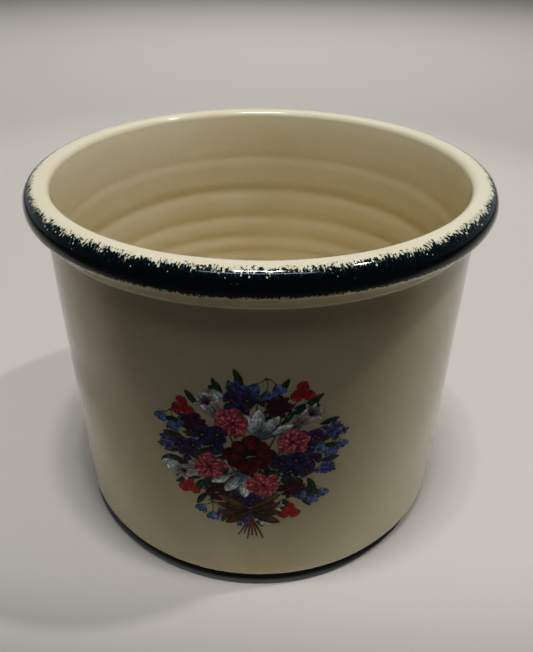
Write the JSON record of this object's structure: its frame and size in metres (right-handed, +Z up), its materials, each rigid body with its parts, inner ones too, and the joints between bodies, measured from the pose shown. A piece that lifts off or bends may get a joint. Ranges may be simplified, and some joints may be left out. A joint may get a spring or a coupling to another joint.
{
  "type": "butter crock",
  "caption": "Straight-sided glazed stoneware butter crock with a rolled, sponge-banded rim, a bare set-back foot and a floral transfer on the front.",
  "frame": {"origin": "centre of the plane that the foot ring rests on", "axes": "+Z up along the crock's axis of revolution; -Y is the front, through the middle of the bouquet; +X is to the right seen from the front"},
  "size_m": [0.163, 0.163, 0.133],
  "materials": {
    "bare_clay": "unglazed fired buff stoneware, matt and slightly gritty",
    "liner_glaze": "glossy warm cream glaze over throwing rings",
    "sponge_band": "glossy blue-black colour dabbed on with a sponge, ragged edges, pale flecks",
    "outer_glaze": "glossy cream glaze with fine pinholes",
    "bouquet_transfer": "fired-on printed transfer of mixed garden flowers, as glossy as the glaze"
  },
  "bodies": {
    "root": {"stoneware_body": "bare_clay", "liner_glaze": "liner_glaze", "rim_sponge_band": "sponge_band", "outer_glaze": "outer_glaze", "bouquet_transfer": "bouquet_transfer"}
  },
  "joints": []
}
